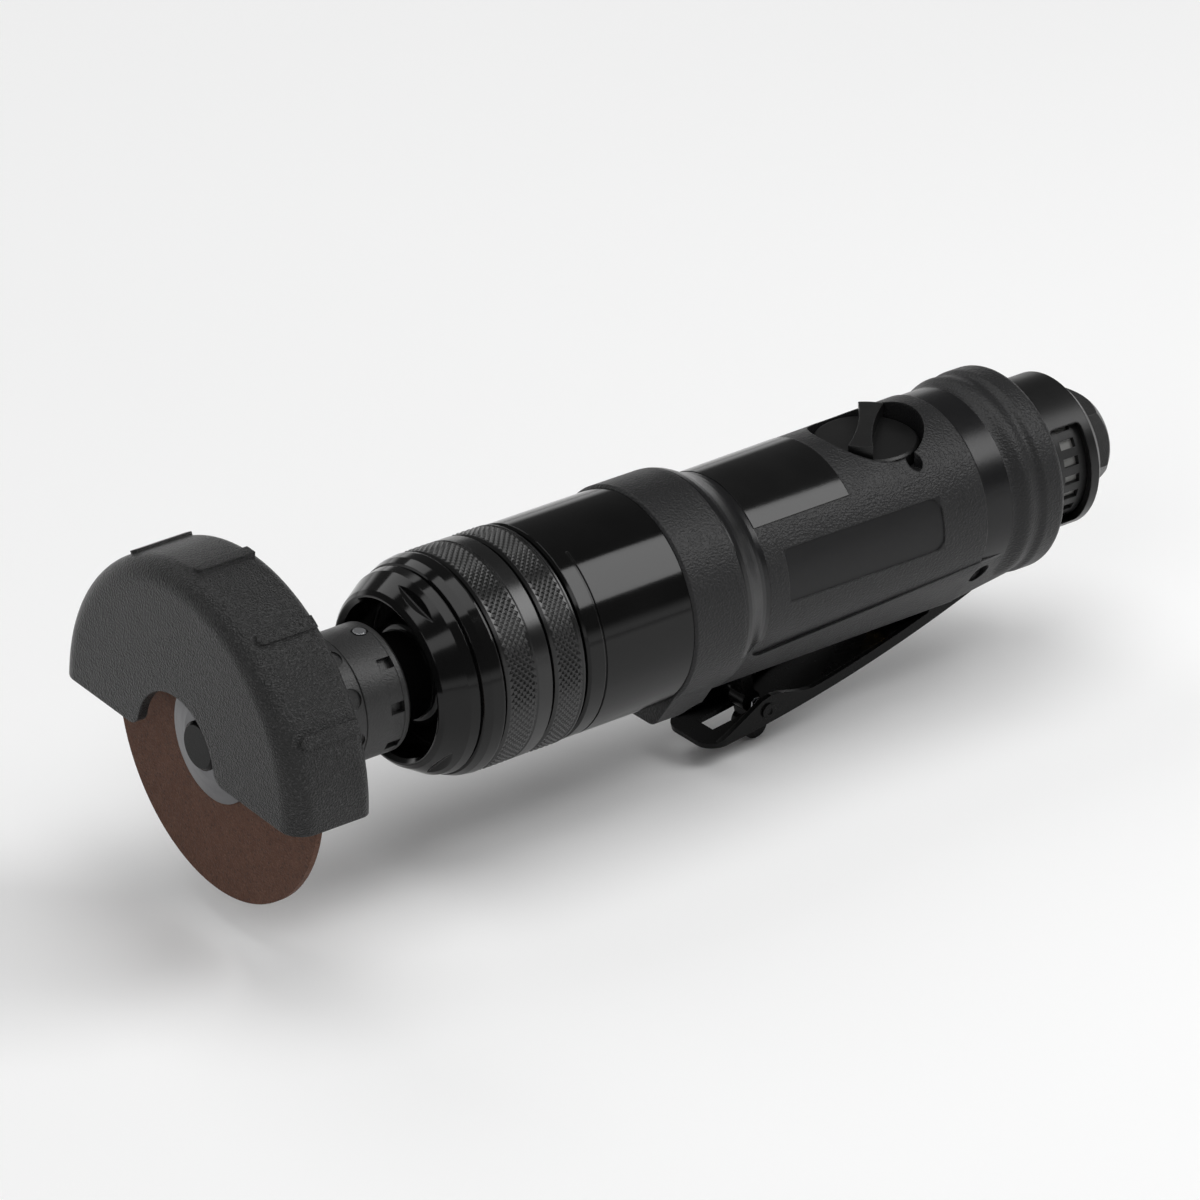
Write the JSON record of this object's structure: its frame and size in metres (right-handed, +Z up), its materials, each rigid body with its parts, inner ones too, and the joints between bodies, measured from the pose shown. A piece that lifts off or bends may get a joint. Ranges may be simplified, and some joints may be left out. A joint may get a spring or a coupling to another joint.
{
  "type": "pneumatic cut off tool",
  "caption": "Inline air driven cut off tool: round grip with throttle lever, safety catch, reverse knob and exhaust sleeve, long neck, half drum guard and thin cutting disc.",
  "frame": {"origin": "centre of the air inlet's mouth, on the tool's axis", "axes": "+X out of the air inlet along the tool's axis, +Z up towards the reverse knob, so the disc is at -X and the lever hangs at -Z"},
  "size_m": [0.263, 0.0899, 0.0932],
  "materials": {
    "grip_black": "leather grained moulding",
    "plate_black": "gloss, bare",
    "gloss_black": "gloss black",
    "ring_black": "black, knurled",
    "collar_black": "satin black",
    "guard_black": "fine sand textured black",
    "lever_black": "satin black sheet",
    "knob_black": "satin black",
    "pin_steel": "bright",
    "abrasive": "resin bonded grit, brown",
    "flange_steel": "turned",
    "shaft_steel": "ground",
    "bearing_steel": "polished",
    "motor_iron": "honed",
    "plate_alloy": "turned",
    "vane_fibre": "resin fibre",
    "valve_brass": "turned",
    "spring_steel": "drawn wire",
    "seal_rubber": "moulded",
    "muffler_black": "moulded",
    "felt_pale": "pressed felt"
  },
  "bodies": {
    "tool_body": {"housing": "grip_black", "label_plate": "plate_black", "barrel": "gloss_black", "nose_ring": "gloss_black", "neck": "gloss_black", "neck_cap": "gloss_black", "neck_bearing_outer": "bearing_steel", "neck_bearing_balls": "bearing_steel", "motor_cylinder": "motor_iron", "front_end_plate": "plate_alloy", "rear_end_plate": "plate_alloy", "front_bearing_outer": "bearing_steel", "front_bearing_balls": "bearing_steel", "rear_bearing_outer": "bearing_steel", "rear_bearing_balls": "bearing_steel", "lever_pin": "lever_black", "tappet_bush": "valve_brass", "valve_seat": "valve_brass", "valve_spring": "spring_steel", "inlet_screen": "valve_brass", "inlet_bushing": "collar_black", "muffler_ring": "muffler_black", "muffler_felt": "felt_pale"},
    "spindle": {"spindle": "shaft_steel", "cutting_disc": "abrasive", "outer_flange": "flange_steel", "inner_flange": "flange_steel", "disc_screw": "lever_black", "rotor": "shaft_steel", "vanes": "vane_fibre", "neck_bearing_inner": "bearing_steel", "front_bearing_inner": "bearing_steel", "rear_bearing_inner": "bearing_steel"},
    "guard": {"guard": "guard_black", "guard_collar": "collar_black", "collar_ring": "collar_black", "guard_pin": "pin_steel"},
    "front_ring": {"front_knurled_ring": "ring_black"},
    "rear_ring": {"rear_knurled_ring": "ring_black"},
    "lever": {"throttle_lever": "lever_black", "catch_pin": "lever_black", "catch_spring": "spring_steel"},
    "catch": {"safety_catch": "lever_black"},
    "tappet": {"valve_tappet": "valve_brass"},
    "valve": {"throttle_valve": "shaft_steel"},
    "knob": {"reverse_knob": "knob_black", "reverse_spool": "shaft_steel", "spool_seal": "seal_rubber"},
    "exhaust": {"exhaust_sleeve": "knob_black"}
  },
  "joints": [
    {"name": "spindle_spin", "type": "hinge", "parent": "tool_body", "child": "spindle", "pos_m": [-0.251, 0, 0], "axis": [1, 0, 0], "continuous": true},
    {"name": "guard_turn", "type": "hinge", "parent": "tool_body", "child": "guard", "pos_m": [-0.2265, 0, 0], "axis": [1, 0, 0], "continuous": true},
    {"name": "front_ring_turn", "type": "hinge", "parent": "tool_body", "child": "front_ring", "pos_m": [-0.184, 0, 0], "axis": [1, 0, 0], "range_deg": [0, 90]},
    {"name": "rear_ring_turn", "type": "hinge", "parent": "tool_body", "child": "rear_ring", "pos_m": [-0.1727, 0, 0], "axis": [1, 0, 0], "range_deg": [0, 90]},
    {"name": "lever_squeeze", "type": "hinge", "parent": "tool_body", "child": "lever", "pos_m": [-0.0464, 0, -0.0153], "axis": [0, 1, 0], "range_deg": [0, 7.5], "stiffness_Nm_per_rad": 1.5, "springref_deg": -2.86},
    {"name": "catch_fold", "type": "hinge", "parent": "lever", "child": "catch", "pos_m": [-0.10233, 0, -0.03724], "axis": [0, 1, 0], "range_deg": [0, 90]},
    {"name": "tappet_lift", "type": "slide", "parent": "tool_body", "child": "tappet", "axis": [0, 0, 1], "range_m": [0, 0.0028]},
    {"name": "valve_tilt", "type": "hinge", "parent": "tool_body", "child": "valve", "pos_m": [-0.0391, 0, 0], "axis": [0, 1, 0], "range_deg": [0, 6.5]},
    {"name": "knob_turn", "type": "hinge", "parent": "tool_body", "child": "knob", "pos_m": [-0.0668, 0, 0.0158], "axis": [0, 0, 1], "range_deg": [0, 90]},
    {"name": "exhaust_turn", "type": "hinge", "parent": "tool_body", "child": "exhaust", "pos_m": [-0.0165, 0, 0], "axis": [1, 0, 0], "continuous": true}
  ],
  "couplings": [
    {"joint": "catch_fold", "follows": "lever_squeeze", "ratio": 12},
    {"joint": "tappet_lift", "follows": "lever_squeeze", "m_per_rad": 0.0203},
    {"joint": "valve_tilt", "follows": "lever_squeeze", "ratio": 0.815}
  ]
}
